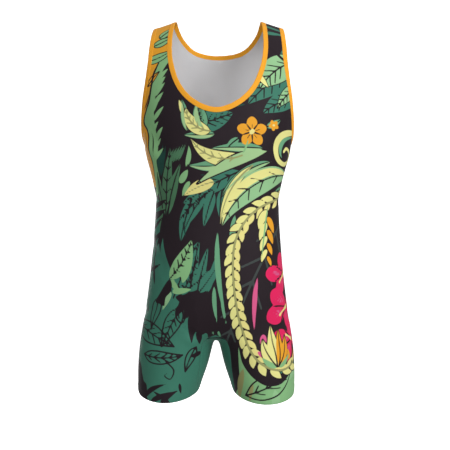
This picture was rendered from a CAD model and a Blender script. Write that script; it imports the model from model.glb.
"""Wrestling singlet: cloth, bindings, stitching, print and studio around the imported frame."""

import math

import bmesh
import bpy
import numpy as np
from mathutils import Matrix, Vector


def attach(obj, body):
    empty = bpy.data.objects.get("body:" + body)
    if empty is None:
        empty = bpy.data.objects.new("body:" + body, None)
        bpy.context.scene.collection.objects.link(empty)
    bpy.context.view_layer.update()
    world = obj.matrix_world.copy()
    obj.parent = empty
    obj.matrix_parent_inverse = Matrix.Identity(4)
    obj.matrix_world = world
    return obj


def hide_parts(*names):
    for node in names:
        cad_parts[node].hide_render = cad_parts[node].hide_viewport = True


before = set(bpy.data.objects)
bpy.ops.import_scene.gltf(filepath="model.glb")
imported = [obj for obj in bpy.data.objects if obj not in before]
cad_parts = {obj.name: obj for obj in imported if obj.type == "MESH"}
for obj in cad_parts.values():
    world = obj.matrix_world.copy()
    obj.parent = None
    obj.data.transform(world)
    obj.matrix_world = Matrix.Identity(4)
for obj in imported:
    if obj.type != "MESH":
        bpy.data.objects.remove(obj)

bl_info = {
    "name": "Wrestling singlet",
    "version": (1, 0, 0),
    "blender": (4, 5, 0),
    "location": "View3D > Sidebar > Singlet",
    "description": "Builds the cloth, bindings, stitching and studio of a wrestling singlet",
    "category": "Object",
}

MM = 0.001

# ---- the worn form: design millimetres, x to the wearer's left, y back, z up from the hem ----

SHOULDER_ORIGIN = (0.0, 15.0, 805.0)
SECTION_POWER = 2.2
COLUMNS = 6
GUSSET = 4

# torso sections: height, half width, depth in front of the side seam, depth behind it
TORSO = [
    (60, 172, 96, 100),
    (136, 163, 94, 102),
    (176, 155.5, 99, 110),
    (230, 148.2, 103, 114),
    (300, 140.9, 100, 102),
    (350, 137.4, 95, 89),
    (409, 132.6, 92, 80),
    (460, 140.5, 98, 88),
    (505, 154.8, 105, 100),
    (545, 161.8, 110, 109),
    (600, 169.0, 112, 114),
    (655, 172.0, 100, 113),
    (705, 172.0, 84, 100),
    (755, 172.0, 68, 80),
]
TORSO_ROWS = (136, 176, 235, 300, 360, 415, 465, 508)

# leg sections: height, outer x, inner x, half depth, angle to the inseam, rise at the crotch
LEG = [
    (0, 171.0, 38.0, 86, 163, 0),
    (35, 171.8, 26.5, 85, 150, 0),
    (70, 170.6, 14.5, 86, 141, 0),
    (102, 168.0, 7.6, 88, 137, 22),
]
LEG_BACK_ANGLE = 132
LIFT_REACH = 25
HEM_CURVE = 6
HEM_DIP = 2

# how far the middle is drawn in between the legs: height, front, back
DRAWN_IN = [(100, 22, 18), (136, 20, 22), (176, 5, 16), (230, 0, 6), (290, 0, 0), (800, 0, 0)]
DRAWN_IN_REACH = 42
CROTCH = [(40, 121), (0, 117), (-44, 118)]

# rows from the armhole to the centre line or neck: (angle, height) or a strap's (x, y, z)
FRONT_ROWS = [
    ((0, 531), (90, 540)),
    ((15, 556), (90, 579)),
    ((24, 592), (74, 604)),
    ((31, 634), (64, 639)),
    ((36.5, 674), (58.5, 678)),
    ((138.0, -50, 714), (105.0, -61, 717)),
    ((136.5, -37, 754), (106.0, -45, 757)),
    ((134.5, -14, 786), (104.5, -20, 793)),
    ((133.5, 15, 808), (102.5, 15, 818)),
]
BACK_ROWS = [
    ((0, 531), (90, 560)),
    ((14, 556), (90, 620)),
    ((23, 596), (90, 685)),
    ((33, 645), (90, 749)),
    ((38, 695), (75.5, 755)),
    ((136.5, 67, 735), (73.0, 72, 768)),
    ((135.5, 53, 763), (91.0, 56, 787)),
    ((134.5, 34, 786), (100.0, 37, 802)),
    ((133.5, 15, 808), (102.5, 15, 818)),
]


def read_profile(table, height, column):
    """One column of a table of sections, on a smooth curve through its rows."""
    rows = [(row[0], row[column]) for row in table]
    for i in range(len(rows) - 1):
        if height <= rows[i + 1][0]:
            break
    (z0, v0), (z1, v1) = rows[i], rows[i + 1]
    before = rows[i - 1] if i > 0 else rows[i]
    after = rows[i + 2] if i + 2 < len(rows) else rows[i + 1]
    slope0 = (v1 - before[1]) / (z1 - before[0])
    slope1 = (after[1] - v0) / (after[0] - z0)
    span = z1 - z0
    t = (height - z0) / span
    return (
        (2 * t**3 - 3 * t**2 + 1) * v0
        + (t**3 - 2 * t**2 + t) * span * slope0
        + (3 * t**2 - 2 * t**3) * v1
        + (t**3 - t**2) * span * slope1
    )


def cage_growth(segments):
    """How much a ring of control points is larger than the smooth ring that it gives."""
    return 3 / (2 + math.cos(2 * math.pi / segments))


def torso_point(angle, height, back):
    """A control point on the torso: angle 0 is the side seam and 90 the centre line."""
    a = math.radians(angle)
    grow = cage_growth(4 * COLUMNS)
    x = grow * read_profile(TORSO, height, 1) * abs(math.cos(a)) ** (2 / SECTION_POWER)
    if angle >= 90:
        x = 0.0
    depth = grow * read_profile(TORSO, height, 3 if back else 2)
    y = depth * math.sin(a) ** (2 / SECTION_POWER)
    y -= read_profile(DRAWN_IN, height, 2 if back else 1) * math.exp(-((x / DRAWN_IN_REACH) ** 2))
    return Vector((x, y if back else -y, height))


def leg_point(row, angle):
    """A control point on a leg: angle runs from the side seam, negative round the back."""
    height, outer, inner, depth, inseam, lift = row
    grow = cage_growth(2 * COLUMNS + GUSSET)
    a = math.radians(angle)
    half = (outer - inner) / 2
    x = (outer + inner) / 2 + grow * half * math.cos(a)
    away = (inseam - angle + 180) % 360 - 180
    rise = lift * math.exp(-((away / LIFT_REACH) ** 2))
    if height == 0:
        rise = HEM_CURVE * math.cos(a) ** 2 - HEM_DIP
    return Vector((x, -grow * depth * math.sin(a), height + rise))


def chest_row(ends, back):
    """Control points of one row, from the centre or neck (first) to the armhole (last)."""
    outer, inner = ends
    points = []
    for c in range(COLUMNS + 1):
        s = c / COLUMNS
        if len(outer) == 3:
            points.append(Vector(inner).lerp(Vector(outer), s))
            continue
        angle = inner[0] + (outer[0] - inner[0]) * s
        height = inner[1] + (outer[1] - inner[1]) * s * s * (3 - 2 * s)
        points.append(torso_point(angle, height, back))
    return points


class Cage:
    """The control mesh of the garment's left half."""

    def __init__(self):
        self.bm = bmesh.new()

    def vertices(self, points):
        return [self.bm.verts.new(p) for p in points]

    def strip(self, lower, upper, piece):
        """Join two rows of vertices with quads; piece 0 is the front panel and 1 the back."""
        for i in range(len(lower) - 1):
            face = self.bm.faces.new([lower[i], lower[i + 1], upper[i + 1], upper[i]])
            face.material_index = piece


def build_half_cage():
    cage = Cage()
    front, back, gusset = [], [], []
    for row in LEG:
        inseam = row[4]
        steps = [c / COLUMNS for c in range(COLUMNS + 1)]
        front.append(cage.vertices([leg_point(row, inseam * (1 - s)) for s in steps]))
        rear = [leg_point(row, -LEG_BACK_ANGLE * (1 - s)) for s in steps[:-1]]
        back.append(cage.vertices(rear) + [front[-1][-1]])
        sweep = 360 - inseam - LEG_BACK_ANGLE
        inner = [-LEG_BACK_ANGLE - sweep * g / GUSSET for g in range(1, GUSSET)]
        middle = cage.vertices([leg_point(row, a) for a in inner])
        gusset.append([back[-1][0], *middle, front[-1][0]])
    for height in TORSO_ROWS:
        angles = [90 * (1 - c / COLUMNS) for c in range(COLUMNS + 1)]
        front.append(cage.vertices([torso_point(a, height, False) for a in angles]))
        rear = [torso_point(a, height, True) for a in angles[:-1]]
        back.append(cage.vertices(rear) + [front[-1][-1]])
    crotch = cage.vertices([Vector((0, y, z)) for y, z in CROTCH])
    gusset.append([back[len(LEG)][0], *crotch, front[len(LEG)][0]])

    for ends in FRONT_ROWS:
        front.append(cage.vertices(chest_row(ends, False)))
    underarm, shoulder = front[len(LEG) + len(TORSO_ROWS)][-1], front[-1]
    for i, ends in enumerate(BACK_ROWS[:-1]):
        points = chest_row(ends, True)
        if i == 0:
            back.append(cage.vertices(points[:-1]) + [underarm])
        else:
            back.append(cage.vertices(points))
    back.append(shoulder)

    for rows, piece in ((front, 0), (back, 1), (gusset, 1)):
        for lower, upper in zip(rows, rows[1:]):
            cage.strip(lower, upper, piece)
    return cage.bm


def new_mesh(name, bm):
    """A mesh made from a bmesh, which is then freed."""
    mesh = bpy.data.meshes.new(name)
    bm.to_mesh(mesh)
    bm.free()
    return mesh


def new_object(name, data):
    """An object of a mesh, lamp or camera, in the scene."""
    obj = bpy.data.objects.new(name, data)
    bpy.context.collection.objects.link(obj)
    return obj


def smooth_shell(levels):
    """The whole garment's outer surface: the cage mirrored and subdivided, in metres."""
    bm = build_half_cage()
    bmesh.ops.scale(bm, vec=(MM, MM, MM), verts=bm.verts)
    bmesh.ops.translate(bm, vec=[-MM * v for v in SHOULDER_ORIGIN], verts=bm.verts)
    bmesh.ops.recalc_face_normals(bm, faces=bm.faces)
    mesh = new_mesh("cage", bm)
    guide = new_object("cage", mesh)
    mirror = guide.modifiers.new("other half", "MIRROR")
    mirror.merge_threshold = 0.1 * MM
    smooth = guide.modifiers.new("smooth", "SUBSURF")
    smooth.levels = smooth.render_levels = levels
    shell = bmesh.new()
    shell.from_object(guide, bpy.context.evaluated_depsgraph_get())
    bpy.data.objects.remove(guide, do_unlink=True)
    bpy.data.meshes.remove(mesh)
    top = max(shell.faces, key=lambda f: abs(f.calc_center_median().x))
    if top.normal.x * top.calc_center_median().x < 0:
        bmesh.ops.reverse_faces(shell, faces=shell.faces)
    shell.normal_update()
    return shell


# ---- places on the cloth, for the print and the creases ----

LEG_INNER_REACH, LEG_INNER_BLEND = 140.0, 90.0  # the leg's inner side: x where it starts, blend
LEG_TOP, LEG_TOP_BLEND = 165.0, 45.0
STRAP_START, STRAP_BLEND = 672.0, 60.0
STRAP_TURN = 28.0  # how far in front of the side seam a strap starts to turn over
STRAP_ROLL = 0.7
CURVE_STEPS = 6  # steps between two points of a path
PRINT_FAR = 8.0  # how far from a printed edge its distance is still worked out
CREASE_FAR = 3.0  # how far a crease is felt, and fades at its ends, in its own reaches
HEM_END = 2.5  # the height in which the doubled hem ends
NO_LENGTH = 1e-9


def profile_values(column, heights):
    """A column of the torso table at many heights at once."""
    table = np.array([[row[0], row[column]] for row in TORSO], float)
    return np.interp(heights, table[:, 0], table[:, 1])


def unrolled(angle, half_width, depth):
    """Distance round a section from its centre line, for an angle from the centre line."""
    flat = depth / half_width
    return half_width * (angle * (1 + flat) / 2 + np.sin(2 * angle) * (1 - flat) / 4)


def eased(share):
    return share * share * (3 - 2 * share)


def cloth_places(co, back):
    """Unrolled places (across, up) in mm of points on a panel, from the centre line and hem."""
    x, y, z = (co / MM + np.array(SHOULDER_ORIGIN)).T
    width = profile_values(1, z)
    depth = profile_values(3 if back else 2, z)
    away = y if back else -y
    side = np.arctan2(np.abs(x) / width, away / depth)
    straight = np.arcsin(np.clip(np.abs(x) / width, 0, 1))
    # inside a leg, the print runs straight back instead of turning with the leg
    inner = np.clip((LEG_INNER_REACH - np.abs(x)) / LEG_INNER_BLEND, 0, 1)
    low = np.clip((LEG_TOP - z) / LEG_TOP_BLEND, 0, 1)
    # and on a strap it runs straight over the shoulder
    strap = np.clip((z - STRAP_START) / STRAP_BLEND, 0, 1)
    mix = np.maximum(eased(inner) * low, eased(strap))
    angle = side + (straight - side) * mix
    over = np.maximum(0, STRAP_TURN - away) * strap * STRAP_ROLL
    return np.stack([np.sign(x) * unrolled(angle, width, depth), z + over], axis=1)


def design_places(points, back):
    """Unrolled places of design points given as (x seen from the front, height, ...)."""
    points = np.array(points, float)
    x, z = points[:, 0], points[:, 1]
    width = profile_values(1, z)
    depth = profile_values(3 if back else 2, z)
    angle = np.arcsin(np.clip(np.abs(x) / width, 0, 1))
    across = np.sign(x) * (unrolled(angle, width, depth) + np.maximum(np.abs(x) - width, 0))
    return np.column_stack([across, z, points[:, 2:]])


def smooth_path(points, closed=False):
    """A smooth curve through the points, with whatever each point carries."""
    points = np.asarray(points, float)
    if len(points) < 3:
        return points
    n = len(points)
    out = []
    for i in range(n if closed else n - 1):
        if closed:
            a, b, c, d = (points[(i + k) % n] for k in (-1, 0, 1, 2))
        else:
            b, c = points[i], points[i + 1]
            a = points[i - 1] if i else 2 * b - c
            d = points[i + 2] if i + 2 < n else 2 * c - b
        for step in range(CURVE_STEPS):
            t = step / CURVE_STEPS
            out.append(
                0.5 * (2 * b + (c - a) * t + (2 * a - 5 * b + 4 * c - d) * t**2
                       + (3 * b - 3 * c + d - a) * t**3)
            )
    if not closed:
        out.append(points[-1])
    return np.array(out)


def near(places, path, reach):
    """The places within reach of a path's box."""
    low = path[:, :2].min(axis=0) - reach
    high = path[:, :2].max(axis=0) + reach
    return np.nonzero(((places >= low) & (places <= high)).all(axis=1))[0]


def from_segment(places, a, b):
    """Where along the segment from a to b each place is, as a share, and its distance from it."""
    along = b[:2] - a[:2]
    length = max(float(along @ along), NO_LENGTH)
    t = np.clip(((places - a[:2]) @ along) / length, 0, 1)
    return t, np.hypot(*(places - (a[:2] + t[:, None] * along)).T)


def stroke_inside(places, path):
    """How far inside a tapered stroke each place is; a path point is (across, up, half width)."""
    best = np.full(len(places), -np.inf)
    for a, b in zip(path[:-1], path[1:]):
        t, gap = from_segment(places, a, b)
        best = np.maximum(best, a[2] + (b[2] - a[2]) * t - gap)
    return best


def patch_inside(places, path):
    """How far inside a closed patch each place is."""
    gap = np.full(len(places), np.inf)
    inside = np.zeros(len(places), bool)
    for a, b in zip(path, np.roll(path, -1, axis=0)):
        gap = np.minimum(gap, from_segment(places, a, b)[1])
        crosses = (a[1] > places[:, 1]) != (b[1] > places[:, 1])
        rise = b[1] - a[1] if abs(b[1] - a[1]) > NO_LENGTH else NO_LENGTH
        inside ^= crosses & (places[:, 0] < a[0] + (places[:, 1] - a[1]) * (b[0] - a[0]) / rise)
    return np.where(inside, gap, -gap)


# ---- the cloth pieces ----


def settings():
    return bpy.context.scene.singlet_sizes


def colours():
    return bpy.context.scene.singlet_colours


def edge_pull(vertex, normal):
    """The direction, in the cloth, from a vertex on an edge into its piece."""
    pull = Vector()
    for edge in vertex.link_edges:
        if edge.is_boundary:
            along = edge.other_vert(vertex).co - vertex.co
            across = normal.cross(along).normalized()
            inside = edge.link_faces[0].calc_center_median() - vertex.co
            pull += across if across.dot(inside) > 0 else -across
    return pull


def crease_depth(places, creases, back):
    """How far out of the smooth form soft creases move each place, in mm."""
    depth = np.zeros(len(places))
    for height, reach, points in creases:
        path = smooth_path(design_places(points, back))
        far = CREASE_FAR * reach
        picked = near(places, path, far)
        if not len(picked):
            continue
        close = places[picked]
        gap = -stroke_inside(close, np.column_stack([path, np.zeros(len(path))]))
        ends = [np.hypot(*(close - end).T) for end in (path[0], path[-1])]
        fade = np.clip(np.minimum(*ends) / far, 0, 1)
        depth[picked] += height * np.exp(-((gap / reach) ** 2)) * fade * (2 - fade)
    return depth


def read_values(data, key, width=1):
    """A mesh's values as an array, with a row for each item when the width is over 1."""
    values = np.empty(len(data) * width)
    data.foreach_get(key, values)
    return values.reshape(-1, width) if width > 1 else values


def build_panel(name, shell, piece, creases):
    """One panel as cloth: a fine printed face, a plain inner face and the folded hem between."""
    sizes = settings()
    bm = shell.copy()
    normals = bm.verts.layers.float_vector.new("cloth_normal")
    for vertex in bm.verts:
        vertex[normals] = vertex.normal
    others = [f for f in bm.faces if f.material_index != piece]
    bmesh.ops.delete(bm, geom=others, context="FACES")
    seam = bm.verts.layers.float.new("seam")
    for vertex in bm.verts:
        vertex[seam] = 1.0 if vertex.is_boundary else 0.0
        if vertex.is_boundary:
            pull = edge_pull(vertex, Vector(vertex[normals]))
            vertex.co += pull.normalized() * sizes.seam_gap / 2
    outer = list(bm.faces)
    for face in outer:
        face.material_index = 0
    made = bmesh.ops.extrude_face_region(bm, geom=outer, use_keep_orig=True)
    inner = [item for item in made["geom"] if isinstance(item, bmesh.types.BMFace)]
    inner_verts = {v for f in inner for v in f.verts}
    for vertex in inner_verts:
        vertex.co -= Vector(vertex[normals]) * sizes.cloth_thickness
    for face in inner:
        face.material_index = 1
    bmesh.ops.recalc_face_normals(bm, faces=bm.faces)
    printed = set(outer)
    within = [e for e in bm.edges if e.link_faces and all(f in printed for f in e.link_faces)]
    bmesh.ops.subdivide_edges(bm, edges=within, cuts=1, use_grid_fill=True)
    mesh = new_mesh(name, bm)

    co = read_values(mesh.vertices, "co", 3)
    direction = read_values(mesh.attributes["cloth_normal"].data, "vector", 3)
    direction /= np.maximum(np.linalg.norm(direction, axis=1), NO_LENGTH)[:, None]
    near_seam = read_values(mesh.attributes["seam"].data, "value")
    places = cloth_places(co, bool(piece))
    rise = crease_depth(places, creases, bool(piece)) * MM
    rise -= near_seam * sizes.seam_dip
    fold = np.clip((sizes.hem_height / MM - places[:, 1]) / HEM_END, 0, 1)
    rise += fold * sizes.hem_rise
    co += direction * rise[:, None]
    mesh.vertices.foreach_set("co", co.ravel())
    mesh.update()
    mesh.shade_smooth()
    for spare in ("cloth_normal", "seam"):
        mesh.attributes.remove(mesh.attributes[spare])
    add_floats(mesh, "across", places[:, 0])
    add_floats(mesh, "up", places[:, 1])
    return new_object(name, mesh), places


def add_floats(mesh, name, values):
    layer = mesh.attributes.new(name, "FLOAT", "POINT")
    layer.data.foreach_set("value", np.asarray(values, np.float32))


def paint(mesh, places, layers, back):
    """Store, for each colour of the print, how far inside its shapes each point is, in mm."""
    for name, shapes in layers:
        inside = np.full(len(places), -PRINT_FAR)
        for shape in shapes:
            closed = shape[0] == "patch"
            points = shape[1:] if closed else shape
            path = smooth_path(design_places(points, back), closed)
            reach = PRINT_FAR if closed else PRINT_FAR + path[:, 2].max()
            picked = near(places, path, reach)
            if len(picked):
                how = patch_inside if closed else stroke_inside
                inside[picked] = np.maximum(inside[picked], how(places[picked], path))
        add_floats(mesh, name, inside)


def opening_loops(shell):
    """The open edges of the shell, each as an ordered ring of vertices."""
    loops, used = [], set()
    for edge in shell.edges:
        if not edge.is_boundary or edge in used:
            continue
        used.add(edge)
        ring = [edge.verts[0], edge.verts[1]]
        while ring[-1] is not ring[0]:
            step = next(e for e in ring[-1].link_edges if e.is_boundary and e not in used)
            used.add(step)
            ring.append(step.other_vert(ring[-1]))
        loops.append(ring[:-1])
    return loops


# a folded binding's section: across from the cloth's edge, and out, in mm
BINDING_WIDTH = 10.0
BINDING_FACE = [(-0.7, 0.85), (0.3, 1.2), (1.6, 1.05), (2.4, 1.0), (5.0, 1.15), (8.0, 1.1), (9.5, 0.8)]
BINDING_SECTION = [
    (-0.9, 0.0),
    *BINDING_FACE,
    (BINDING_WIDTH, 0.0),
    *((across, -rise) for across, rise in reversed(BINDING_FACE)),
]
JOIN_REACH = 9.0 * MM  # how far from its middle the overlap of a binding's ends shows
JOIN_STEP = 0.28  # how much thicker it is there, as a share
UNEVEN = ((0.02, 1.7), (0.015, 0.61))  # small waves of a binding's edge: share of width, pace


def ring_frames(ring):
    """For each vertex of an opening: its place on the wall's middle, outward across and normal."""
    wall = settings().cloth_thickness
    frames = []
    for vertex in ring:
        normal = vertex.normal.copy()
        out = -edge_pull(vertex, normal).normalized()
        frames.append((vertex.co - normal * wall / 2, out, normal))
    return frames


def build_binding(name, ring, join_at):
    """A folded strip of knit round one opening, with a low step where its ends overlap."""
    bm = bmesh.new()
    rings = []
    frames = ring_frames(ring)
    count = len(frames)
    length = 0.0
    around = bm.verts.layers.float.new("around")
    over = bm.verts.layers.float.new("over")
    for i, (middle, out, normal) in enumerate(frames):
        away = (middle - join_at).length
        step = 1 + JOIN_STEP * max(0.0, 1 - away / JOIN_REACH)
        wave = 1.0
        for size, pace in UNEVEN:
            wave += size * math.sin(i * pace)
        row = []
        for j, (across, rise) in enumerate(BINDING_SECTION):
            point = middle + out * across * wave * MM + normal * rise * step * MM
            vertex = bm.verts.new(point)
            vertex[around] = length / MM
            vertex[over] = across if rise >= 0 else 2 * BINDING_WIDTH - across
            row.append(vertex)
        rings.append(row)
        length += (frames[(i + 1) % count][0] - middle).length
    sides = len(BINDING_SECTION)
    for near_row, far_row in zip(rings, rings[1:] + rings[:1]):
        for i in range(sides):
            j = (i + 1) % sides
            bm.faces.new([near_row[i], near_row[j], far_row[j], far_row[i]])
    bmesh.ops.recalc_face_normals(bm, faces=bm.faces)
    mesh = new_mesh(name, bm)
    mesh.shade_smooth()
    obj = new_object(name, mesh)
    finer = obj.modifiers.new("round", "SUBSURF")
    finer.levels = finer.render_levels = 1
    return obj, length


def lay_stitches(name, path):
    """Short raised threads along a path of (place, normal) pairs, half sunk in the cloth."""
    sizes = settings()
    radius = sizes.thread_radius
    size = Matrix.Diagonal((sizes.stitch_length / 2, radius, radius, 1))
    bm = bmesh.new()
    travelled, target = 0.0, 0.0
    for (a, normal_a), (b, normal_b) in zip(path[:-1], path[1:]):
        span = (b - a).length
        while span and target <= travelled + span:
            t = (target - travelled) / span
            along = (b - a).normalized()
            up = normal_a.lerp(normal_b, t).normalized()
            side = up.cross(along).normalized()
            turn = Matrix((along, side, up)).transposed().to_4x4()
            where = Matrix.Translation(a.lerp(b, t)) @ turn @ size
            bmesh.ops.create_icosphere(bm, subdivisions=1, radius=1.0, matrix=where)
            target += sizes.stitch_length + sizes.stitch_gap
        travelled += span
    mesh = new_mesh(name, bm)
    mesh.shade_smooth()
    return new_object(name, mesh)


# ---- materials ----


class Value:
    """A node's output, so that maths on it reads as a plain expression."""

    def __init__(self, graph, socket):
        self.graph = graph
        self.socket = socket

    def _maths(self, operation, first, second):
        node = self.graph.node("ShaderNodeMath", {"operation": operation}, {0: first, 1: second})
        return Value(self.graph, node.outputs[0])

    def __add__(self, other):
        return self._maths("ADD", self, other)

    def __sub__(self, other):
        return self._maths("SUBTRACT", self, other)

    def __mul__(self, other):
        return self._maths("MULTIPLY", self, other)

    def __truediv__(self, other):
        return self._maths("DIVIDE", self, other)

    def sine(self):
        return self._maths("SINE", self, 0.0)

    def clamped(self):
        return self._maths("MINIMUM", self._maths("MAXIMUM", self, 0.0), 1.0)


class Graph:
    """A material's nodes."""

    def __init__(self, name):
        self.material = bpy.data.materials.new(name)
        self.material.use_nodes = True
        self.tree = self.material.node_tree
        self.shader = self.tree.nodes["Principled BSDF"]

    def node(self, kind, options=None, inputs=None):
        node = self.tree.nodes.new(kind)
        for key, value in (options or {}).items():
            setattr(node, key, value)
        for key, value in (inputs or {}).items():
            self.feed(node.inputs[key], value)
        return node

    def feed(self, socket, value):
        if isinstance(value, Value):
            self.tree.links.new(value.socket, socket)
        elif isinstance(value, bpy.types.NodeSocket):
            self.tree.links.new(value, socket)
        else:
            socket.default_value = value

    def attribute(self, name):
        node = self.node("ShaderNodeAttribute", {"attribute_name": name})
        return Value(self, node.outputs["Fac"])

    def noise(self, scale, detail=2.0, vector=None):
        """Soft noise from 0 to 1 over the object's own coordinates, or over a vector."""
        if vector is None:
            vector = self.node("ShaderNodeTexCoord").outputs["Object"]
        inputs = {"Vector": vector, "Scale": scale, "Detail": detail}
        return Value(self, self.node("ShaderNodeTexNoise", None, inputs).outputs[0])

    def vector(self, x, y, z=0.0):
        return self.node("ShaderNodeCombineXYZ", None, {0: x, 1: y, 2: z}).outputs[0]

    def mix(self, factor, first, second):
        """A colour between two, each a colour or an earlier mix."""
        node = self.node("ShaderNodeMix", {"data_type": "RGBA"})
        self.feed(node.inputs[0], factor)
        self.feed(node.inputs[6], first)
        self.feed(node.inputs[7], second)
        return node.outputs[2]

    def shade(self, colour, factor):
        """A colour made lighter or darker by a factor."""
        grey = self.node("ShaderNodeCombineColor", None, {0: factor, 1: factor, 2: factor})
        options = {"data_type": "RGBA", "blend_type": "MULTIPLY"}
        node = self.node("ShaderNodeMix", options)
        self.feed(node.inputs[0], 1.0)
        self.feed(node.inputs[6], colour)
        self.feed(node.inputs[7], grey.outputs[0])
        return node.outputs[2]

    def finish(self, colour, roughness, height=None, depth=0.0, strength=0.0):
        """Set the cloth's colour, its roughness and a bump from a height of 0 to 1."""
        self.feed(self.shader.inputs["Base Color"], colour)
        self.feed(self.shader.inputs["Roughness"], roughness)
        if height is not None:
            inputs = {"Strength": strength, "Distance": depth, "Height": height}
            bump = self.node("ShaderNodeBump", None, inputs)
            self.feed(self.shader.inputs["Normal"], bump.outputs["Normal"])
        return self.material


def knit_height(across, up, wale, course):
    """The fine ribs of a knit from places in mm: upright wales crossed by finer courses."""
    ribs = (across * (2 * math.pi / wale)).sine()
    rows = (up * (2 * math.pi / course) + ribs * 1.2).sine()
    return ribs * 0.3 + rows * 0.2 + 0.5


def soft_cloth(graph, sheen=0.06):
    """What every cloth here has in common: a weak soft shine and a little fuzz."""
    shader = graph.shader
    shader.inputs["Metallic"].default_value = 0.0
    shader.inputs["Specular IOR Level"].default_value = 0.16
    shader.inputs["Sheen Weight"].default_value = sheen
    shader.inputs["Sheen Roughness"].default_value = 0.45


def printed_material(name, ground, layers):
    """Stretch knit with a dyed print: each layer is an attribute and its colour, lowest first."""
    graph = Graph(name)
    across, up = graph.attribute("across"), graph.attribute("up")
    places = graph.vector(across, up)
    rough_edge = (graph.noise(0.55, 3.0, places) - 0.5) * settings().edge_wander
    tone = graph.noise(0.02, 3.0, places)
    colour = ground
    for attribute, dye in layers:
        inside = graph.attribute(attribute)
        mask = ((inside + rough_edge) / settings().edge_softness + 0.5).clamped()
        colour = graph.mix(mask, colour, dye)
    colour = graph.shade(colour, tone * 0.16 + 0.92)
    soft_cloth(graph)
    height = knit_height(across, up, wale=0.9, course=0.7) + graph.noise(900.0, 2.0) * 0.25
    roughness = graph.noise(60.0, 2.0) * 0.1 + 0.55
    return graph.finish(colour, roughness, height, depth=0.12 * MM, strength=0.35)


def inner_material(name):
    """The plain inner face of the printed knit."""
    graph = Graph(name)
    across, up = graph.attribute("across"), graph.attribute("up")
    mottle = graph.noise(1.1, 3.0, graph.vector(across, up))
    colour = graph.mix(mottle, colours().inner_dark, colours().inner)
    soft_cloth(graph, 0.1)
    height = knit_height(across, up, wale=1.1, course=0.8) + graph.noise(700.0, 2.0) * 0.4
    return graph.finish(colour, 0.8, height, depth=0.18 * MM, strength=0.4)


def binding_material(name):
    """Ribbed binding knit: ribs across the strip and a line pressed in beside its stitches."""
    graph = Graph(name)
    around, over = graph.attribute("around"), graph.attribute("over")
    tone = graph.noise(35.0, 2.0) * 0.12 + 0.94
    colour = graph.shade(colours().binding, tone)
    soft_cloth(graph, 0.05)
    height = knit_height(over, around, wale=1.0, course=0.8) + graph.noise(800.0, 2.0) * 0.3
    return graph.finish(colour, 0.6, height, depth=0.15 * MM, strength=0.4)


def thread_material(name, dye):
    """Twisted sewing thread."""
    graph = Graph(name)
    tone = graph.noise(1500.0, 2.0) * 0.25 + 0.85
    soft_cloth(graph, 0.1)
    height = graph.noise(2500.0, 1.0)
    return graph.finish(graph.shade(dye, tone), 0.5, height, depth=0.1 * MM, strength=0.4)


# ---- the print and the creases: (x from the centre, height above the hem, half width), mm ----
# negative x is the wearer's right; a shape that starts with "patch" is a closed outline;
# a leaf is (x, height, direction in degrees, length, half width, bend in degrees)

LEAF_STEPS = 6
LEAF_SWELL = 0.75  # under 1, a leaf is broadest nearer its stem
LIT_PLACE, LIT_WIDTH = 0.5, 0.36  # of the lighter side of a leaf, in half widths of the leaf
BROAD_LEAF = 13.0  # half width from which a leaf has side veins
VEIN_TURN = 40
VEIN_TAPER = 0.3  # how much of its width a middle vein loses by its tip
SIDE_VEIN, SIDE_TIP = 0.95, 0.7  # widths of a side vein beside the middle one
LEAFLET_BEND = 0.6  # how far a leaflet turns back along its stem
PETALS = 5
PETAL_STEPS = ((0.08, 0.35), (0.4, 0.82), (0.7, 1.0), (0.9, 0.7))  # shares of length and half width
BETWEEN = 180 / PETALS  # degrees from a petal's middle to the gap beside it


def midrib(x, z, turn, length, _half, bend):
    """Points (x, height, direction) along a leaf's curving middle, from its stem to its tip."""
    points = []
    for k in range(LEAF_STEPS + 1):
        way = math.radians(turn + bend * k / LEAF_STEPS)
        points.append((x, z, way))
        x += math.cos(way) * length / LEAF_STEPS
        z += math.sin(way) * length / LEAF_STEPS
    return points


def beside(leaf, share):
    """Points beside a leaf's middle, by a share of its half width there, with that half width."""
    points = []
    for k, (x, z, way) in enumerate(midrib(*leaf)):
        half = leaf[4] * math.sin(math.pi * (k / LEAF_STEPS) ** LEAF_SWELL)
        points.append((x - math.sin(way) * half * share, z + math.cos(way) * half * share, half))
    return points


def blades(leaves, wider=0.0):
    return [[(x, z, half + wider) for x, z, half in beside(leaf, 0)] for leaf in leaves]


def lit_sides(leaves, side=1):
    """The lighter half of each leaf, to one side of its middle."""
    return [
        [(x, z, half * LIT_WIDTH) for x, z, half in beside(leaf, LIT_PLACE * side)] for leaf in leaves
    ]


def rims(leaves, width):
    """A drawn line round each leaf."""
    return [
        [(x, z, width) for x, z, _ in beside(leaf, side)] for leaf in leaves for side in (1, -1)
    ]


def veins(leaves, width=1.7):
    """The middle vein of each leaf, and side veins in a broad one."""
    lines = []
    for leaf in leaves:
        middle = beside(leaf, 0)
        ways = [way for _, _, way in midrib(*leaf)]
        thin = width * VEIN_TAPER / LEAF_STEPS
        lines.append([(x, z, width - thin * k) for k, (x, z, _) in enumerate(middle)])
        if leaf[4] < BROAD_LEAF:
            continue
        for (x, z, half), way in list(zip(middle, ways))[1:-1]:
            for side in (VEIN_TURN, -VEIN_TURN):
                turn = way + math.radians(side)
                tip = (x + math.cos(turn) * half, z + math.sin(turn) * half, width * SIDE_TIP)
                lines.append([(x, z, width * SIDE_VEIN), tip])
    return lines


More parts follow.
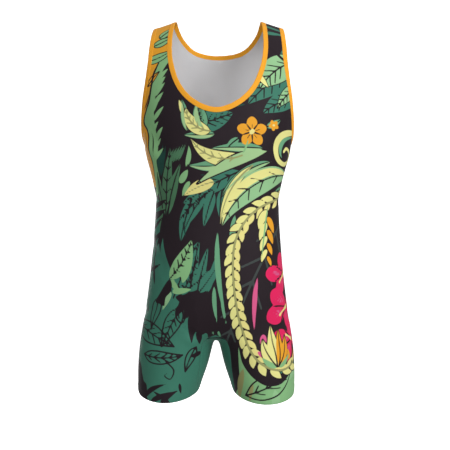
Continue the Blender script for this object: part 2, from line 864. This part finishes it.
def leaflets(stem, spacing, leaf, side):
    """Leaves along one side of a stem; the leaf is (length, half width, turn from the stem)."""
    length, half, turn = leaf
    made, travelled, target = [], 0.0, spacing * (0.5 if side > 0 else 1.0)
    for (x0, z0), (x1, z1) in zip(stem, stem[1:]):
        span = math.hypot(x1 - x0, z1 - z0)
        way = math.degrees(math.atan2(z1 - z0, x1 - x0))
        while target < travelled + span:
            t = (target - travelled) / span
            made.append(
                (x0 + (x1 - x0) * t, z0 + (z1 - z0) * t, way + side * turn, length, half,
                 -side * turn * LEAFLET_BEND)
            )
            target += spacing
        travelled += span
    return made


def blossom(x, z, length, half, turn):
    """The five petals of a flower."""
    petals = []
    for k in range(PETALS):
        a = math.radians(turn + 2 * BETWEEN * k)
        petals.append(
            [(x + math.cos(a) * length * s, z + math.sin(a) * length * s, half * r)
             for s, r in PETAL_STEPS]
        )
    return petals


def petal_lines(flower, offset, start, end, width):
    """A drawn line for each petal, turned by an offset: 0 is its middle, BETWEEN its gap."""
    x, z, length, _, turn = flower
    lines = []
    for k in range(PETALS):
        a = math.radians(turn + 2 * BETWEEN * k + offset)
        lines.append(
            [(x + math.cos(a) * length * s, z + math.sin(a) * length * s, w)
             for s, w in ((start, width), ((start + end) / 2, width), (end, 0))]
        )
    return lines


# the wearer's right side: teal ground below, orange shoulder, a long frond and grass
SIDE_TEAL = [
    ("patch", (-190, -10), (-190, 440), (-150, 428), (-132, 424), (-118, 410), (-110, 380),
     (-108, 340), (-100, 300), (-88, 262), (-92, 235), (-80, 215), (-60, 195), (-48, 180),
     (-46, 150), (-30, 138), (-16, 130), (-16, -10)),
]
TEAL_LEAVES = [
    (-84, 214, 70, 128, 17, -8), (-70, 220, 60, 86, 13, 14),
    (-34, 226, 52, 78, 11, 10), (-50, 236, 82, 100, 8, -6),
    (-36, 232, 78, 92, 8, -4), (-16, 226, 76, 74, 6, 4),
    (-48, 414, 250, 90, 12, 14), (-60, 232, 30, 60, 12, 30),
    (48, 472, 205, 134, 17, 12), (-8, 434, 214, 92, 13, 24),
    (-20, 428, 232, 84, 11, 20), (-4, 430, 250, 76, 10, 10),
    (12, 434, 262, 58, 8, 10), (-46, 560, 14, 84, 21, 10),
    (168, 702, 212, 146, 30, 26), (170, 640, 205, 96, 22, 20),
    (166, 746, 226, 56, 15, 10), (90, 772, 2, 66, 5, 0),
    (88, 804, -12, 68, 5, -8), (172, 82, 200, 70, 5, 10),
]
DEEP_LEAVES = [
    (-132, 436, 262, 190, 18, 6), (-124, 440, 84, 92, 7, -10),
    (-112, 462, 86, 66, 5, -12), (-150, 214, 262, 190, 12, 6),
    (32, 600, 8, 26, 3, 0), (-32, 464, 350, 54, 3, 50),
    (-66, 372, 280, 36, 2, 0),
]
# the large dark leaf inside the garland, seen only by its veins
DARK_LEAF = [(150, 396, 240, 330, 62, 14)]
SHOULDER_ORANGE = [
    ("patch", (-84, 860), (-156, 860), (-152, 745), (-156, 690), (-164, 640), (-190, 600),
     (-190, 530), (-160, 490), (-142, 462), (-127, 442), (-129, 465), (-132, 493), (-138, 518),
     (-142, 558), (-150, 579), (-144, 602), (-136, 621), (-131, 656), (-128, 676), (-122, 700),
     (-106, 722), (-92, 760)),
]
FROND = [
    ("patch", (-92, 732), (-108, 720), (-120, 702), (-127, 676), (-130, 656), (-135, 621),
     (-143, 602), (-149, 578), (-141, 558), (-137, 518), (-131, 493), (-128, 465), (-127, 446),
     (-129, 424), (-121, 430), (-113, 446), (-117, 465), (-122, 493), (-120, 518), (-122, 545),
     (-124, 579), (-125, 602), (-122, 621), (-117, 656), (-108, 684), (-97, 708)),
]
FROND_TIPS = [(-101, 667), (-102, 653), (-104, 633), (-115, 613), (-104, 603), (-114, 574),
              (-105, 562), (-112, 540), (-108, 520), (-98, 684)]
MOSS_LEAVES = [(x - 22, z - 27, 56, 36, 5, -10) for x, z in FROND_TIPS] + [
    (-92, 252, 50, 94, 16, 28), (-66, 244, 74, 84, 9, 6),
    (-88, 250, 300, 30, 6, 0), (-88, 226, 8, 42, 6, 6),
    (-60, 480, 70, 44, 5, 30), (-72, 448, 60, 32, 7, 0),
    (-52, 452, 236, 36, 5, 20),
]
FERN_LEAVES = [
    (-102, 380, 89, 144, 13, -8), (-100, 378, 80, 116, 12, -12),
    (-97, 382, 84, 92, 10, -16), (-110, 398, 100, 76, 9, -4),
    (-108, 430, 262, 80, 8, 6),
] + [(-99 + 6 * k, 484 + 2 * k, 66, 40, 2.2, 0) for k in range(5)]
STRAP_LEAVES = [
    (-124, 762, 40, 40, 8, 6), (-136, 742, 20, 44, 8, 14),
    (-152, 706, 8, 60, 9, 30), (-140, 652, 54, 36, 5, -10),
]
SEA_LEAVES = [
    (-57, 550, 98, 68, 8, 4), (-24, 556, 112, 54, 13, -14),
    (-2, 544, 184, 64, 8, -8), (30, 490, 196, 88, 11, -28),
    (94, 518, 178, 106, 9, 8), (110, 494, 198, 130, 8, 46),
    (38, 384, 262, 80, 6, 6), (4, 354, 268, 192, 5.5, 20),
    (-2, 242, 268, 80, 4.5, 16), (13, 230, 272, 68, 3, 14),
    (6, 147, 285, 20, 3, 0), (-5, 148, 265, 16, 2, 0),
    (156, 448, 200, 42, 8, 5), (98, 562, 20, 34, 7, 30),
    (44, 536, 215, 34, 7, 20),
]
LIGHT_LEAVES = [
    (154, 472, 190, 192, 25, 68), (160, 708, 205, 104, 28, 42),
    (168, 656, 214, 74, 14, 34), (-30, 510, 340, 34, 6, 0),
    (-88, 226, 240, 44, 6, 12), (112, -10, 82, 40, 7, 20),
    (172, 56, 200, 46, 6, 10),
]
PALE_LEAVES = [
    (52, 503, 198, 116, 14, -84), (-12, 550, 172, 74, 13, -88),
    (-66, 586, 106, 30, 4, -5), (82, 670, 300, 34, 5, 10),
    (72, 484, 222, 138, 7, 48),
]
# a fern's unrolling tip
CURL = [
    [(168, 564, 3), (142, 554, 7), (124, 538, 8), (119, 516, 7), (126, 497, 5.5),
     (140, 492, 4.5), (151, 502, 4), (152, 517, 3.5), (143, 524, 3.2), (137, 517, 3)],
]
CURL_SHADE = [
    [(166, 556, 5), (160, 520, 7), (150, 488, 5), (142, 470, 2)],
    [(160, 552, 0), (142, 543, 4), (131, 528, 5), (129, 512, 3), (134, 502, 0)],
]
CREAM_LEAVES = [(-4, 450, 194, 68, 12.5, 26)]
MINT_LEAVES = [(101, 514, 196, 156, 11, 24)]
OLIVE_LEAVES = [(58, 70, 258, 78, 6, 18), (78, 42, 258, 44, 4, 14)]
LEG_GREEN = [
    ("patch", (47, 112), (55, 82), (70, 60), (87, 45), (103, 36), (124, 38), (150, 55),
     (176, 76), (190, -12), (58, -12), (51, 40)),
]
LEG_LEAVES = [(64, 12, 26, 124, 22, 30)]

# the garland: a stem with leaflets on both sides
STEM = [(176, 436), (128, 420), (93, 403), (69, 384), (50, 358), (39, 330), (35, 300), (35, 267),
        (38, 232), (43, 199), (49, 171), (58, 143), (68, 115), (82, 92), (100, 75), (122, 66),
        (150, 70), (184, 92)]
OUTER_LEAFLETS = leaflets(STEM, 21, (29, 6.8, 40), -1)
INNER_LEAFLETS = leaflets(STEM, 21, (26, 5.8, 40), 1)
STEM_STROKE = [[(x, z, 2.2) for x, z in STEM]]

# flowers: middle, petal length, petal half width, first petal's turn
BLOSSOM = (70, 550, 25, 10.5, 20)
SMALL_BLOSSOM = (112, 566, 9, 4.2, 50)
PINK_BLOSSOMS = [(142, 262, 37, 17, 34), (147, 192, 42, 20, 64), (157, 122, 38, 18, 20)]
HANGING_PALE = [(102, 394 - 27 * k, 234, 44 - 5 * k, 8.5 - k, 30) for k in range(4)]
HANGING_ORANGE = [(102, 380 - 27 * k, 304, 38 - 5 * k, 7.5 - k, -28) for k in range(4)]
LILY_PALE = [(116, 74, 124, 62, 10, -30), (117, 74, 98, 86, 11, -6)]
LILY_ORANGE = [(119, 74, 60, 64, 10, 30), (120, 76, 84, 74, 8, 6)]
SMALL_ORANGE = [(138, 398, 262, 34, 6, 10), (146, 84, 100, 22, 5, 0), (160, 82, 70, 24, 5, 0)]
ROSE_PETALS = [(83, 258, 262, 114, 5, 14), (95, 140, 270, 30, 6.5, 0), (85, 107, 312, 24, 4, 0)]
SEPALS = [(116, 72, 150, 34, 5, -34), (120, 72, 30, 34, 5, 34), (104, 408, 262, 126, 2, 4),
          (139, 414, 262, 22, 2, 0), (52, 506, 62, 34, 2, 20)]
HEARTS = [[(69, 549, 4.5), (71, 551, 4.5)], [(111, 566, 2), (113, 566, 2)],
          [(142, 262, 4), (134, 250, 1.8), (130, 244, 2.6)],
          [(147, 192, 4.5), (137, 182, 1.8), (131, 176, 2.8)],
          [(157, 122, 4), (148, 130, 1.8), (142, 134, 2.6)]]

# leaves drawn in line only, on the teal leg
DRAWN_LEAVES = [
    (-172, 150, -16, 96, 20, -14), (-66, 196, 236, 92, 15, 22),
    (-140, 92, -6, 74, 13, 24), (-112, 214, 250, 70, 10, 10),
    (-40, 112, 240, 56, 9, 16), (-160, 250, 282, 74, 12, 0),
]
TENDRILS = [
    [(-64, 207, 2.2), (-77, 192, 2), (-78, 174, 1.6), (-69, 163, 1.6), (-63, 170, 1.5),
     (-66, 177, 1)],
    [(-96, 84, 1.4), (-84, 66, 1.4), (-90, 48, 1.2), (-99, 54, 1), (-95, 60, 0.6)],
]
DARK_PATCHES = [
    ("patch", (-190, 84), (-156, 72), (-146, 50), (-140, 37), (-131, 30), (-128, 6),
     (-120, -12), (-190, -12)),
    ("patch", (-122, 202), (-112, 222), (-94, 250), (-87, 242), (-90, 226), (-100, 213),
     (-103, 196), (-112, 199)),
]
DARK_LEAVES = [
    (-134, 2, 64, 54, 5, -50), (-120, -4, 52, 50, 5, -50),
    (-104, -6, 70, 44, 4, -60), (-92, -8, 110, 40, 4, 50),
    (-74, 38, 275, 24, 3, 0), (-50, 226, 236, 56, 9, 12),
    (-42, 214, 240, 50, 9, 10), (-44, 196, 262, 76, 9, 10),
    (-36, 150, 276, 34, 6, 0), (-30, 98, 200, 22, 5, 0),
    (-140, 400, 14, 44, 6, 20), (-146, 374, 20, 50, 8, 14),
    (-106, 386, 262, 84, 7, 6), (-128, 350, 270, 60, 4, 0),
    (-134, 296, 262, 70, 3, 0), (-150, 436, 300, 60, 5, -20),
    (-146, 344, 40, 52, 5, 10), (-150, 316, 34, 60, 6, 16),
    (-124, 316, 60, 50, 4, 10), (-150, 262, 20, 46, 4, 20),
    (-140, 250, 86, 110, 5, 10), (-152, 226, 74, 70, 4, 10),
    (-126, 236, 96, 66, 4, -8),
]
EDGES = [
    [(-122, 700, 1.6), (-128, 676, 2.4), (-131, 656, 2.4), (-136, 621, 2.6), (-144, 602, 2.2),
     (-151, 579, 2.4), (-143, 558, 2.2), (-138, 518, 1.8), (-132, 493, 1.6), (-129, 465, 1)],
    [(-150, 566, 0), (-147, 540, 1.4), (-142, 510, 1.2), (-138, 480, 0)],
    [(-134, 560, 0), (-130, 530, 1.6), (-128, 500, 0)],
    [(-134, 640, 0), (-142, 616, 1.6), (-152, 600, 0)],
    [(124, 440, 0), (112, 432, 1.4), (100, 420, 0)],
    [(90, 750, 3), (118, 727, 3), (154, 692, 2.5)],
]
BROAD_SEA = [leaf for leaf in SEA_LEAVES if leaf[4] > 6]
SOFT_VEINED = CREAM_LEAVES + PALE_LEAVES[:2] + PALE_LEAVES[4:]
PINK_GAPS = [line for flower in PINK_BLOSSOMS for line in petal_lines(flower, BETWEEN, 0.1, 0.98, 1.8)]
PINK_VEINS = [line for flower in PINK_BLOSSOMS for offset in (-11, 0, 11)
              for line in petal_lines(flower, offset, 0.35, 0.85, 1.0)]
BUDS = HANGING_PALE + HANGING_ORANGE + LILY_PALE + LILY_ORANGE
FRONT_PRINT = [
    ("teal", SIDE_TEAL + blades(TEAL_LEAVES)),
    ("deep", blades(DEEP_LEAVES)),
    ("vein", veins(DARK_LEAF, 2.8)),
    ("outline", veins([leaf for leaf in TEAL_LEAVES if leaf[4] > 6], 1.7)),
    ("orange", SHOULDER_ORANGE),
    ("moss", FROND + blades(MOSS_LEAVES) + LEG_GREEN),
    ("fern", blades(FERN_LEAVES)),
    ("outline", blades(STRAP_LEAVES, 2.0) + blades(SEA_LEAVES[:6], 1.4)
     + veins(FERN_LEAVES[:4], 1.7) + veins(MOSS_LEAVES[-7:-6], 1.7)),
    ("moss", blades(STRAP_LEAVES[:3])),
    ("orange", blades(STRAP_LEAVES[3:])),
    ("sea", blades(SEA_LEAVES) + CURL_SHADE),
    ("outline", blades(LIGHT_LEAVES[:3], 1.8) + veins(BROAD_SEA + STRAP_LEAVES, 1.5)),
    ("light", blades(LIGHT_LEAVES)),
    ("outline", blades(PALE_LEAVES, 1.2) + veins(LIGHT_LEAVES[1:3], 1.7)),
    ("pale", blades(PALE_LEAVES) + CURL + lit_sides(LIGHT_LEAVES[:1], -1)),
    ("cream", blades(CREAM_LEAVES)),
    ("outline", blades(MINT_LEAVES, 2.6) + veins(LIGHT_LEAVES[:1], 1.6)),
    ("mint", blades(MINT_LEAVES) + lit_sides(SEA_LEAVES[:6], 1)),
    ("olive", blades(OLIVE_LEAVES) + veins(SOFT_VEINED, 1.6)),
    ("pink", [petal for flower in PINK_BLOSSOMS for petal in blossom(*flower)]),
    ("outline", PINK_GAPS + rims(DRAWN_LEAVES, 1.5) + veins(DRAWN_LEAVES, 1.6) + TENDRILS
     + DARK_PATCHES + blades(DARK_LEAVES) + EDGES + veins(LEG_LEAVES, 1.6)
     + rims(LEG_LEAVES, 1.5) + blades(OUTER_LEAFLETS, 1.7)),
    ("pale", blades(OUTER_LEAFLETS)),
    ("outline", blades(INNER_LEAFLETS, 1.7)),
    ("cream", blades(INNER_LEAFLETS)),
    ("olive", STEM_STROKE),
    ("rose", blades(ROSE_PETALS) + PINK_VEINS),
    ("outline", blades(BUDS, 1.6)),
    ("pale", blades(HANGING_PALE + LILY_PALE)),
    ("orange", blades(HANGING_ORANGE + LILY_ORANGE + SMALL_ORANGE) + blossom(*BLOSSOM)
     + blossom(*SMALL_BLOSSOM)),
    ("moss", blades(SEPALS)),
    ("outline", petal_lines(BLOSSOM, BETWEEN, 0.1, 0.95, 1.5) + petal_lines(BLOSSOM, 0, 0.3, 0.75, 0.9)
     + veins(LILY_PALE + LILY_ORANGE, 1.4)),
    ("cream", HEARTS),
]

# the back: larger, quieter leaves
BACK_DEEP = [
    (-160, 700, -40, 210, 30, 30), (160, 640, 214, 220, 30, 34),
    (-160, 480, -30, 190, 28, -40), (150, 420, 236, 230, 28, 30),
    (-150, 270, 300, 230, 24, -30), (60, 180, 300, 170, 22, 30),
]
BACK_MOSS = [
    (-130, 706, -20, 170, 20, 10), (120, 660, 226, 180, 19, 10),
    (-70, 486, 320, 150, 18, -20), (60, 350, 250, 170, 18, 10),
    (-96, 350, 282, 170, 17, -20), (120, 130, 262, 120, 16, -20),
]
BACK_SEA = [
    (150, 560, 250, 120, 12, 20), (-150, 600, 290, 130, 13, -10),
    (-20, 600, 300, 120, 13, 20), (20, 250, 262, 110, 11, 30),
    (-150, 130, 310, 110, 12, 20), (130, 310, 262, 110, 12, 0),
]
BACK_LIGHT = [(96, 480, 200, 130, 15, 30), (-120, 440, 330, 120, 13, -20), (70, 740, 214, 90, 12, 10)]
BACK_BLOSSOMS = [(-62, 560, 25, 10.5, 10), (92, 214, 22, 9.5, 40)]
BACK_PINK = (-70, 250, 50, 22, 14)
BACK_PRINT = [
    ("deep", blades(BACK_DEEP)),
    ("orange", [("patch", (-80, 870), (-166, 870), (-160, 720), (-134, 700), (-118, 730),
                 (-98, 760))]),
    ("outline", blades(BACK_MOSS + BACK_SEA, 1.6)),
    ("moss", blades(BACK_MOSS)),
    ("sea", blades(BACK_SEA)),
    ("outline", blades(BACK_LIGHT, 1.8) + blossom(*BACK_PINK[:3], 24, BACK_PINK[4])),
    ("light", blades(BACK_LIGHT)),
    ("mint", lit_sides(BACK_MOSS, 1)),
    ("pink", blossom(*BACK_PINK)),
    ("rose", [line for offset in (-12, 0, 12)
              for line in petal_lines(BACK_PINK, offset, 0.3, 0.85, 0.9)]),
    ("orange", [petal for flower in BACK_BLOSSOMS for petal in blossom(*flower)]),
    ("outline", veins(BACK_DEEP + BACK_MOSS + BACK_SEA + BACK_LIGHT, 1.6)
     + petal_lines(BACK_PINK, BETWEEN, 0.1, 0.98, 2)
     + [line for flower in BACK_BLOSSOMS for line in petal_lines(flower, BETWEEN, 0.1, 0.95, 1.5)]),
    ("cream", [[(x - 1, z, 4.5), (x + 1, z, 4.5)] for x, z, *_ in BACK_BLOSSOMS + [BACK_PINK]]),
]

# height, reach, path: a negative height is a soft trough
FRONT_CREASES = [
    (-3.4, 8, [(-60, 156), (-44, 136), (-24, 128)]),
    (2.0, 9, [(-66, 140), (-50, 124), (-34, 116)]),
    (-3.0, 8, [(52, 160), (38, 142), (22, 130)]),
    (1.8, 9, [(62, 148), (48, 130), (32, 120)]),
    (-2.2, 12, [(-150, 430), (-110, 412), (-70, 404)]),
    (-1.8, 12, [(150, 424), (112, 410), (76, 400)]),
    (-5.0, 14, [(-138, 560), (-124, 540), (-110, 516), (-100, 490)]),
    (2.0, 11, [(-152, 548), (-142, 528), (-126, 496)]),
    (-3.0, 13, [(144, 556), (130, 534), (114, 508)]),
    (-2.0, 10, [(-170, 168), (-140, 182), (-108, 190)]),
    (-1.8, 10, [(170, 164), (142, 178), (114, 188)]),
    (-2.0, 12, [(-140, 330), (-120, 300), (-96, 262)]),
    (1.6, 12, [(-126, 344), (-104, 312), (-84, 278)]),
]
BACK_CREASES = [
    (-2.6, 13, [(-140, 425), (-80, 408), (-20, 402)]),
    (-2.6, 13, [(140, 420), (80, 404), (24, 398)]),
    (-2.0, 12, [(-130, 392), (-80, 380), (-40, 376)]),
    (-2.0, 12, [(130, 388), (84, 378), (44, 374)]),
    (-3.0, 9, [(-70, 178), (-46, 160), (-22, 150)]),
    (-3.0, 9, [(70, 176), (46, 160), (22, 150)]),
    (-3.4, 12, [(-144, 556), (-130, 534), (-112, 506)]),
    (-3.0, 12, [(144, 558), (130, 536), (112, 508)]),
    (-2.2, 15, [(-20, 700), (-14, 640), (-16, 580)]),
    (1.8, 15, [(24, 704), (20, 650), (26, 590)]),
]
# name, piece, creases, print, ground, node, slot, flat size, area of the cut
PANELS = [
    ("front_cloth", 0, FRONT_CREASES, FRONT_PRINT, "ground", "front_panel", "front_print",
     (0.47, 0.83), 0.26),
    ("back_cloth", 1, BACK_CREASES, BACK_PRINT, "teal", "back_panel", "back_print",
     (0.47, 0.86), 0.32),
]

SHELL_LEVELS = 3  # how often the cage is subdivided
HEM_LEVEL = -0.4  # an opening with a lower middle is a leg, which has a hem and no binding
CENTRE_LIMIT = 0.01  # an opening with its middle this near the centre line is the neck
NECK_JOIN = (0.05, 0.06, -0.045)  # where a binding's ends overlap
ARMHOLE_JOIN = (0.165, 0.0, -0.27)
STITCH_ACROSS = 1.9  # from the cloth's edge, mm
STITCH_RISE = 1.02 * MM  # from the middle of the wall

CAMERA_LENS, CAMERA_SENSOR = 41.28, 36.0  # mm
CAMERA_YAW = 1.5
CAMERA_ROLL = 0.35
CAMERA_DISTANCE = 1.135
CAMERA_HEIGHT = -0.442
CAMERA_SHIFT = 0.0176

# name, place, aimed at, side length, power
LAMPS = [
    ("key", (1.7, -1.9, 0.5), (0.0, 0.0, -0.35), 1.3, 44.0),
    ("front", (-0.2, -2.6, -0.3), (0.0, 0.0, -0.4), 1.6, 14.0),
    ("top", (0.1, 0.1, 1.7), (0.0, 0.0, -0.2), 1.2, 4.0),
    ("back", (-1.1, 2.3, -0.5), (0.0, 0.0, -0.5), 1.6, 28.0),
]
WORLD_STRENGTH = 0.28
SWEEP_GLOW = 1.0
FLOOR_HEIGHT = -1.5
SWEEP_RADIUS = 4.0
SWEEP_BEND = 1.2
SWEEP_TOP = 6.0
SWEEP_STEPS = 48
SWEEP_CURVE_STEPS = 12


# ---- settings that a user may change ----


def linear(red, green, blue):
    """A colour from its usual 0 to 255 display values."""
    values = []
    for value in (red, green, blue):
        part = value / 255
        values.append(part / 12.92 if part <= 0.04045 else ((part + 0.055) / 1.055) ** 2.4)
    return (*values, 1.0)


def length_property(name, text, default, low=0.0, high=0.1):
    return bpy.props.FloatProperty(
        name=name, description=text, default=default, min=low, max=high, unit="LENGTH", precision=5
    )


def colour_property(name, text, rgb):
    return bpy.props.FloatVectorProperty(
        name=name, description=text, default=linear(*rgb), size=4, min=0.0, max=1.0, subtype="COLOR"
    )


class SingletSizes(bpy.types.PropertyGroup):
    """Sizes of the garment's cloth and sewing."""

    cloth_thickness: length_property("Cloth", "Thickness of the panels' knit", 1.1 * MM)
    seam_gap: length_property("Seam gap", "Space between two panels at a seam", 0.05 * MM)
    seam_dip: length_property("Seam dip", "How deep a sewn seam sinks into the cloth", 0.55 * MM)
    hem_height: length_property("Hem", "Height of the turned hem", 20.0 * MM)
    hem_rise: length_property("Hem rise", "How much the doubled hem stands out", 0.45 * MM)
    stitch_length: length_property("Stitch", "Length of one stitch", 3.0 * MM)
    stitch_gap: length_property("Stitch gap", "Space between two stitches", 0.9 * MM)
    thread_radius: length_property("Thread", "Half the thickness of the thread", 0.32 * MM)
    edge_softness: bpy.props.FloatProperty(
        name="Print softness", description="Width of a printed edge, mm", default=0.8, min=0.05
    )
    edge_wander: bpy.props.FloatProperty(
        name="Print wander", description="How far printed edges wander, mm", default=0.6, min=0.0
    )


class SingletColours(bpy.types.PropertyGroup):
    """Dyes of the cloth, the print and the thread."""

    ground: colour_property("Ground", "Aubergine ground of the front", (38, 28, 34))
    deep: colour_property("Deep teal", "Shadow leaves of the print", (30, 72, 62))
    vein: colour_property("Vein", "Veins of the large dark leaf", (62, 70, 68))
    teal: colour_property("Teal", "Teal of the sides and back", (62, 124, 104))
    moss: colour_property("Moss", "Dull green of the side and leg", (138, 190, 132))
    fern: colour_property("Fern", "Dark green tufts", (80, 126, 92))
    sea: colour_property("Sea green", "Middle green of the print", (108, 168, 128))
    mint: colour_property("Mint", "Long pale green blade", (166, 204, 146))
    cream: colour_property("Cream", "Broad cream leaves", (236, 226, 142))
    light: colour_property("Light green", "Light leaves of the print", (150, 198, 145))
    olive: colour_property("Olive", "Dull strokes on the legs", (160, 160, 104))
    pale: colour_property("Pale yellow", "Lit edges of the leaves", (236, 232, 148))
    orange: colour_property("Orange", "Flowers and shoulder of the print", (238, 166, 44))
    pink: colour_property("Pink", "Large flower", (232, 36, 96))
    rose: colour_property("Rose", "Pale petals of the large flower", (222, 92, 142))
    outline: colour_property("Outline", "Dark drawn lines of the print", (36, 26, 32))
    binding: colour_property("Binding", "Neck and armhole bindings", (250, 172, 46))
    inner: colour_property("Inside", "Unprinted inner face", (230, 231, 233))
    inner_dark: colour_property("Inside shade", "Darker loops of the inner face", (204, 205, 208))
    floor: colour_property("Floor", "Studio floor and backdrop", (250, 250, 250))


class SingletPanels(bpy.types.Operator):
    """Build the printed front and back cloth"""

    bl_idname = "singlet.panels"
    bl_label = "Front and back cloth"

    def execute(self, context):
        shell = smooth_shell(SHELL_LEVELS)
        inner = inner_material("inner face")
        for name, piece, creases, print_layers, ground, node, slot, flat, area in PANELS:
            panel, places = build_panel(name, shell, piece, creases)
            shapes = [(f"print_{dye}_{i}", group) for i, (dye, group) in enumerate(print_layers)]
            paint(panel.data, places, shapes, bool(piece))
            dyes = [(attribute, getattr(colours(), dye)) for (attribute, _), (dye, _) in
                    zip(shapes, print_layers)]
            cloth = printed_material(f"{name} print", getattr(colours(), ground), dyes)
            panel.data.materials.append(cloth)
            panel.data.materials.append(inner)
            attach(panel, "root")
            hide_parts(node)
        shell.free()
        return {"FINISHED"}


class SingletBindings(bpy.types.Operator):
    """Build the neck and armhole bindings"""

    bl_idname = "singlet.bindings"
    bl_label = "Bindings"

    def execute(self, context):
        shell = smooth_shell(SHELL_LEVELS)
        knit = binding_material("binding knit")
        thread = thread_material("binding thread", colours().binding)
        for ring in opening_loops(shell):
            middle = sum((v.co for v in ring), Vector()) / len(ring)
            if middle.z < HEM_LEVEL:
                continue
            if abs(middle.x) < CENTRE_LIMIT:
                name, join_at = "neck_binding", Vector(NECK_JOIN)
            else:
                side = "left" if middle.x > 0 else "right"
                name = f"armhole_binding_{side}"
                join_at = Vector((math.copysign(ARMHOLE_JOIN[0], middle.x), *ARMHOLE_JOIN[1:]))
            strip, length = build_binding(f"{name}_knit", ring, join_at)
            strip.data.materials.append(knit)
            path = [
                (place + out * STITCH_ACROSS * MM + normal * STITCH_RISE, normal)
                for place, out, normal in ring_frames(ring)
            ]
            stitches = lay_stitches(f"{name}_stitches", path + path[:1])
            stitches.data.materials.append(thread)
            for piece in (strip, stitches):
                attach(piece, "root")
            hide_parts(name)
        shell.free()
        return {"FINISHED"}


class SingletStage(bpy.types.Operator):
    """Build the studio: pale sweep, lights and camera"""

    bl_idname = "singlet.stage"
    bl_label = "Studio"

    def execute(self, context):
        build_sweep()
        for name, place, target, size, power in LAMPS:
            light = bpy.data.lights.new(name, "AREA")
            light.shape = "SQUARE"
            light.size = size
            light.energy = power
            lamp = new_object(name, light)
            lamp.location = place
            lamp.rotation_euler = (Vector(target) - Vector(place)).to_track_quat("-Z", "Y").to_euler()
        world = bpy.data.worlds.new("studio")
        world.use_nodes = True
        world.node_tree.nodes["Background"].inputs["Color"].default_value = (1.0, 1.0, 1.0, 1.0)
        world.node_tree.nodes["Background"].inputs["Strength"].default_value = WORLD_STRENGTH
        context.scene.world = world
        context.scene.view_settings.view_transform = "Standard"
        build_camera()
        return {"FINISHED"}


def build_camera():
    lens = bpy.data.cameras.new("camera")
    lens.lens = CAMERA_LENS
    lens.sensor_width = CAMERA_SENSOR
    lens.shift_x = CAMERA_SHIFT
    camera = new_object("camera", lens)
    yaw = math.radians(CAMERA_YAW)
    camera.location = (
        CAMERA_DISTANCE * math.sin(yaw),
        -CAMERA_DISTANCE * math.cos(yaw) - SHOULDER_ORIGIN[1] * MM,
        CAMERA_HEIGHT,
    )
    level = Matrix.Rotation(yaw, 4, "Z") @ Matrix.Rotation(math.radians(90), 4, "X")
    roll = Matrix.Rotation(math.radians(CAMERA_ROLL), 4, "Z")
    camera.rotation_euler = (level @ roll).to_euler()
    bpy.context.scene.camera = camera


def build_sweep():
    """A round floor that curves up into a backdrop all round, well clear of the garment."""
    bm = bmesh.new()
    profile = [(0.0, FLOOR_HEIGHT)]
    for step in range(SWEEP_CURVE_STEPS + 1):
        turn = math.radians(90 * step / SWEEP_CURVE_STEPS)
        profile.append(
            (
                SWEEP_RADIUS - SWEEP_BEND + SWEEP_BEND * math.sin(turn),
                FLOOR_HEIGHT + SWEEP_BEND * (1 - math.cos(turn)),
            )
        )
    profile.append((SWEEP_RADIUS, SWEEP_TOP))
    verts = [bm.verts.new((r, 0.0, z)) for r, z in profile]
    edges = [bm.edges.new(pair) for pair in zip(verts, verts[1:])]
    bmesh.ops.spin(
        bm, geom=verts + edges, cent=(0, 0, 0), axis=(0, 0, 1), angle=math.radians(360),
        steps=SWEEP_STEPS, use_merge=True,
    )
    bmesh.ops.remove_doubles(bm, verts=bm.verts, dist=MM)
    bmesh.ops.recalc_face_normals(bm, faces=bm.faces)
    mesh = new_mesh("sweep", bm)
    mesh.shade_smooth()
    sweep = new_object("sweep", mesh)
    graph = Graph("studio sweep")
    tone = graph.noise(0.6, 1.0) * 0.02 + 0.98
    graph.shader.inputs["Emission Color"].default_value = (1.0, 1.0, 1.0, 1.0)
    graph.shader.inputs["Emission Strength"].default_value = SWEEP_GLOW
    sweep.visible_diffuse = sweep.visible_glossy = sweep.visible_shadow = False
    sweep.data.materials.append(graph.finish(graph.shade(colours().floor, tone), 0.9))


class SingletPanel(bpy.types.Panel):
    """Lists the garment's sizes, colours and builders"""

    bl_idname = "VIEW3D_PT_singlet"
    bl_label = "Wrestling singlet"
    bl_space_type = "VIEW_3D"
    bl_region_type = "UI"
    bl_category = "Singlet"

    def draw(self, context):
        layout = self.layout
        for operator in OPERATORS:
            layout.operator(operator.bl_idname)
        for group in (context.scene.singlet_sizes, context.scene.singlet_colours):
            for name in group.__annotations__:
                layout.prop(group, name)


OPERATORS = (SingletPanels, SingletBindings, SingletStage)
CLASSES = (SingletSizes, SingletColours, *OPERATORS, SingletPanel)


def register():
    for item in CLASSES:
        bpy.utils.register_class(item)
    bpy.types.Scene.singlet_sizes = bpy.props.PointerProperty(type=SingletSizes)
    bpy.types.Scene.singlet_colours = bpy.props.PointerProperty(type=SingletColours)


def unregister():
    del bpy.types.Scene.singlet_colours
    del bpy.types.Scene.singlet_sizes
    for item in reversed(CLASSES):
        bpy.utils.unregister_class(item)


def main():
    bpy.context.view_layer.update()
    register()
    bpy.ops.singlet.panels()
    bpy.ops.singlet.bindings()
    bpy.ops.singlet.stage()


if __name__ == "__main__":
    main()
